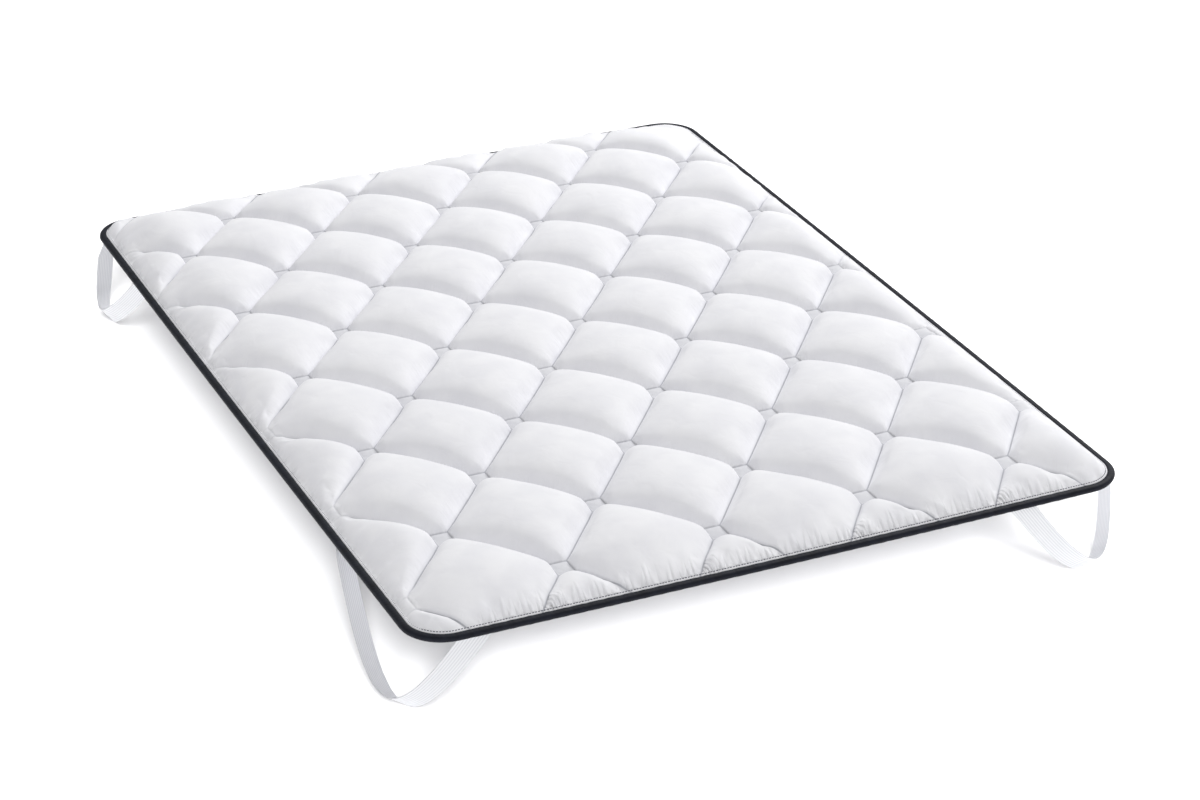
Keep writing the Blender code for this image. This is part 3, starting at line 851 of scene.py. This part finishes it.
def binding_piece(material):
    """Tape folded over the rim: its profile is swept round the corners and along the edges."""
    bm = bmesh.new()
    edges = tape_profile(bm)
    bmesh.ops.translate(bm, verts=bm.verts, vec=(HALF_WIDTH, -CORNER_Y, 0.0))
    for side, end, run in ((1, 1, (0, 2 * CORNER_Y, 0)), (-1, 1, (-2 * CORNER_X, 0, 0)),
                           (-1, -1, (0, -2 * CORNER_Y, 0)), (1, -1, (2 * CORNER_X, 0, 0))):
        made = bmesh.ops.extrude_edge_only(bm, edges=edges)["geom"]
        edges = of_kind(made, bmesh.types.BMEdge)
        bmesh.ops.translate(bm, verts=of_kind(made, bmesh.types.BMVert), vec=run)
        turned = bmesh.ops.spin(bm, geom=edges, cent=(side * CORNER_X, end * CORNER_Y, 0.0),
                                axis=(0, 0, 1), angle=math.pi / 2, steps=14,
                                use_duplicate=False)["geom_last"]
        edges = of_kind(turned, bmesh.types.BMEdge)
    bmesh.ops.remove_doubles(bm, verts=bm.verts, dist=0.00005)
    by_length = {}
    for edge in bm.edges:
        if edge.calc_length() > CORNER_X:
            by_length.setdefault(round(edge.calc_length(), 2), []).append(edge)
    for length, group in by_length.items():
        bmesh.ops.subdivide_edges(bm, edges=group, cuts=int(length / TAPE_STEP), use_grid_fill=False)
    bmesh.ops.recalc_face_normals(bm, faces=bm.faces)
    for vert in bm.verts:
        run, from_corner = edge_run(vert.co)
        calm = smooth_step(0.05, 0.14, from_corner)
        side = 1 if vert.co.z > 0 else -1
        # ripples 30 and 16 mm long
        ripple = 0.00025 * math.sin(run * 210.0) + 0.00018 * math.sin(run * 397.0 + 1.3)
        vert.co.z += side * ripple * calm * min(abs(vert.co.z) / 0.005, 1.0)
    piece = finish_piece(bm, "edge_tape", material)
    unroll_tape(piece.data)
    return piece


def unroll_tape(mesh):
    """UV map of the tape in metres: along the edge, and across it by height."""
    layer = mesh.uv_layers.new(name="UVMap")
    for loop in mesh.loops:
        point = mesh.vertices[loop.vertex_index].co
        layer.data[loop.index].uv = (edge_run(point)[0], (point.z - RIM_HEIGHT) * TAPE_SPREAD)


def stitch_row(material):
    """Short stitches all round beside the binding, each a small rounded thread."""
    bm = bmesh.new()
    for place, direction in edge_run_points(STITCH_INSET - 0.0004, STITCH_PITCH):
        made = bmesh.ops.create_cube(bm, size=1.0)["verts"]
        along = Vector((-direction.y, direction.x, 0.0))
        shape = Matrix((along * STITCH_LENGTH, direction * STITCH_THICKNESS,
                        Vector((0, 0, STITCH_THICKNESS)))).transposed().to_4x4()
        sunk = 0.0 if abs(direction.y) > 0.5 else SIDE_STITCH_SINK
        shape.translation = place + Vector((0, 0, STITCH_HEIGHT + 0.0005 - sunk))
        bmesh.ops.transform(bm, matrix=shape, verts=made)
    bmesh.ops.bevel(bm, geom=bm.edges[:], offset=0.00035, segments=1, profile=0.5,
                    affect="EDGES", material=-1)
    return finish_piece(bm, "edge_stitches", material)


def blend_three(values, share):
    """Smooth run through a start, a middle and an end value."""
    first, middle, last = values
    rest = 1 - share
    return (first * rest * (1 - 2 * share) + middle * 4 * share * rest
            + last * share * (2 * share - 1))


def sewn_end(lines, steps):
    """Add a rounded fold and a level tab before the first line of the loop."""
    corner, level_line = lines[0]
    below = lines[1][0]
    level_line = Vector((level_line.x, level_line.y, 0.0))
    fold_axis = level_line.normalized()
    fall = below - corner
    slide = fold_axis * fall.dot(fold_axis)
    inward = Vector((-fold_axis.y, fold_axis.x, 0.0))
    if inward.dot(Vector((1.0, 1.0, 0.0))) < 0:
        inward = -inward
    back = (inward * (fall - slide).length - slide).normalized()
    fold_start = corner + back * FOLD_LENGTH
    fold_end = corner + fall.normalized() * FOLD_LENGTH
    fold = interpolate_bezier(fold_start, corner, corner, fold_end, steps + 1)
    tab = [corner + back * (TAB_LENGTH - (TAB_LENGTH - FOLD_LENGTH) * step / 4) for step in range(4)]
    kept = [line for line in lines[1:] if (line[0] - corner).length > FOLD_LENGTH * 1.15]
    return [(point, level_line) for point in tab + fold] + kept


def strap_lines(strap):
    """Centre points and width lines of the whole tape, from one sewn end round to the other."""
    top = -UNDERSIDE_DROP - SEWN_GAP - STRAP_THICKNESS / 2
    start = Vector((*strap["long_end"], top))
    end = Vector((*strap["short_end"], top))
    handles = (start, start + Vector(strap["long_pull"]), end + Vector(strap["short_pull"]), end)
    centres = interpolate_bezier(*handles, LOOP_STEPS + 1)
    lines = []
    for step, centre in enumerate(centres):
        before = centres[max(step - 1, 0)]
        after = centres[min(step + 1, LOOP_STEPS)]
        run = (after - before).normalized()
        turn = math.radians(blend_three(strap["turns"], step / LOOP_STEPS))
        tilt = math.radians(blend_three(strap["tilts"], step / LOOP_STEPS))
        width = Vector((math.cos(turn) * math.cos(tilt), math.sin(turn) * math.cos(tilt),
                        math.sin(tilt)))
        width = (width - run * width.dot(run)).normalized()
        lines.append((centre, run, width))
    skews = [-lines[place][2].z / lines[place][1].z for place in (0, -1)]
    leaning = []
    for step, (centre, run, width) in enumerate(lines):
        share = step / LOOP_STEPS
        skew = (skews[0] * max(1 - share / SKEW_FADE, 0)
                + skews[1] * max(1 - (1 - share) / SKEW_FADE, 0))
        leaning.append((centre, width + run * skew))
    leaning = sewn_end(leaning, FOLD_STEPS)
    return sewn_end(leaning[::-1], FOLD_STEPS)


def corner_place(strap, point):
    """A strap's (along, inward, height) point in the pad's own directions."""
    along, inward, height = point
    across, lengthwise = (inward, along) if strap["long_edge"] == "side" else (along, inward)
    return Vector((strap["side"] * (HALF_WIDTH - across), strap["end"] * (HALF_LENGTH - lengthwise),
                   height))


def tuck_in(row, top):
    """How far a section moves in so that the sewn fold stays under the pad's edge."""
    reach = TUCK_INSET + TUCK_SLOPE * (max(point.z for point in row) - top)
    return Vector((max(reach - min(point.x for point in row), 0.0),
                   max(reach - min(point.y for point in row), 0.0), 0.0))


def strap_piece(strap, material):
    """A ribbed tape: a flat grid is laid along the strap's lines and given its thickness."""
    lines = strap_lines(strap)
    top = -UNDERSIDE_DROP - SEWN_GAP
    body = STRAP_THICKNESS - 2 * RIB_DEPTH
    lowest = min(min((centre + line * STRAP_WIDTH / 2).z, (centre - line * STRAP_WIDTH / 2).z)
                 for centre, line in lines) - STRAP_THICKNESS / 4
    stretch = (RIM_HEIGHT + FLOOR_PRESS + top) / (top - lowest)
    columns = RIBS * RIB_COLUMNS
    bm = bmesh.new()
    bmesh.ops.create_grid(bm, x_segments=columns, y_segments=len(lines) - 1, size=0.5)
    uv = bm.loops.layers.uv.new("UVMap")
    lengths = [0.0]
    for (first, _), (second, _) in zip(lines, lines[1:]):
        lengths.append(lengths[-1] + (second - first).length)
    keys = {}
    for vert in bm.verts:
        keys[vert] = (round((vert.co.x + 0.5) * columns), round((vert.co.y + 0.5) * (len(lines) - 1)))
    for face in bm.faces:
        for loop in face.loops:
            column, row = keys[loop.vert]
            loop[uv].uv = (column / columns * STRAP_WIDTH, lengths[row])
    for vert, (column, row) in keys.items():
        centre, line = lines[row]
        before = lines[max(row - 1, 0)][0]
        after = lines[min(row + 1, len(lines) - 1)][0]
        face = (after - before).cross(line).normalized()
        vert.co = centre + line * STRAP_WIDTH * (column / columns - 0.5) - face * body / 2
    bmesh.ops.recalc_face_normals(bm, faces=bm.faces)
    bmesh.ops.solidify(bm, geom=bm.faces[:], thickness=-body)
    rows = {}
    for face in bm.faces:
        for loop in face.loops:
            rows.setdefault(round(loop[uv].uv.y, 5), set()).add(loop.vert)
    for row in rows.values():
        for vert in row:
            if vert.co.z < top - STRAP_THICKNESS:
                vert.co.z = top + (vert.co.z - top) * stretch
        tuck = tuck_in([vert.co for vert in row], top)
        for vert in row:
            vert.co = corner_place(strap, vert.co + tuck)
    bmesh.ops.recalc_face_normals(bm, faces=bm.faces)
    bm.normal_update()
    raise_ribs(bm, uv)
    for vert in bm.verts:
        vert.co.z = max(vert.co.z, -RIM_HEIGHT)
    return finish_piece(bm, strap["name"].replace("strap", "elastic"), material), lengths[-1]


def raise_ribs(bm, uv):
    """Raise each rib of the elastic on both faces."""
    moves = {}
    for face in bm.faces:
        for loop in face.loops:
            across = loop[uv].uv.x / STRAP_WIDTH * RIBS
            rib = 0.5 - 0.5 * math.cos(2 * math.pi * across)
            moves[loop.vert] = loop.vert.normal * RIB_DEPTH * rib
    for vert, move in moves.items():
        vert.co += move


def add_area_light(name, place, size, power):
    light = bpy.data.lights.new(name, "AREA")
    light.shape = "RECTANGLE"
    light.size, light.size_y = size
    light.energy = power
    lamp = add_object(name, light)
    lamp.location = place
    lamp.rotation_euler = (Vector(LIGHT_TARGET) - Vector(place)).to_track_quat("-Z", "Y").to_euler()


def studio():
    bm = bmesh.new()
    bmesh.ops.create_grid(bm, x_segments=1, y_segments=1, size=40.0)
    mesh = bpy.data.meshes.new("studio_floor")
    bm.to_mesh(mesh)
    bm.free()
    mesh.materials.append(white_studio_floor())
    floor = add_object("studio_floor", mesh)
    world = bpy.data.worlds.new("studio")
    world.use_nodes = True
    world.node_tree.nodes["Background"].inputs["Color"].default_value = linear("FFFFFF")
    world.node_tree.nodes["Background"].inputs["Strength"].default_value = WORLD_STRENGTH
    bpy.context.scene.world = world
    add_area_light("key_softbox", KEY_PLACE, KEY_SIZE, KEY_POWER)
    add_area_light("front_softbox", FRONT_PLACE, FRONT_SIZE, FRONT_POWER)
    # a broad soft light from the front keeps the floor's shadow close under the edges
    sun = bpy.data.lights.new("floor_fill", "SUN")
    sun.energy = FLOOR_FILL
    sun.angle = FLOOR_FILL_ANGLE
    lamp = add_object("floor_fill", sun)
    lamp.rotation_euler = Vector(FLOOR_FILL_RUN).to_track_quat("-Z", "Y").to_euler()
    lit = bpy.data.collections.new("lit_floor")
    lit.objects.link(floor)
    lamp.light_linking.receiver_collection = lit
    bpy.context.scene.view_settings.view_transform = "Standard"


def camera():
    lens = bpy.data.cameras.new("camera")
    lens.sensor_width = 36.0
    lens.lens = CAMERA_LENS
    lens.clip_end = 200.0
    eye = add_object("camera", lens)
    axes = Matrix((CAMERA_RIGHT, [-v for v in CAMERA_DOWN], [-v for v in CAMERA_FORWARD]))
    eye.matrix_world = Matrix.Translation(CAMERA_PLACE) @ axes.transposed().to_4x4()
    bpy.context.scene.camera = eye


def main():
    cloth = brushed_polyester_cloth()
    pad = quilted_pad(cloth)
    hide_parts("topper_pad")
    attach(pad, "root")

    tape = binding_piece(navy_twill_tape())
    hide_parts("edge_binding")
    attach(tape, "root")

    stitches = stitch_row(painted_shade_thread())
    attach(stitches, "root")

    elastic = white_ribbed_elastic()
    for strap in STRAPS:
        piece, length = strap_piece(strap, elastic)
        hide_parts(strap["name"])
        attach(piece, "root")

    studio()
    camera()


main()
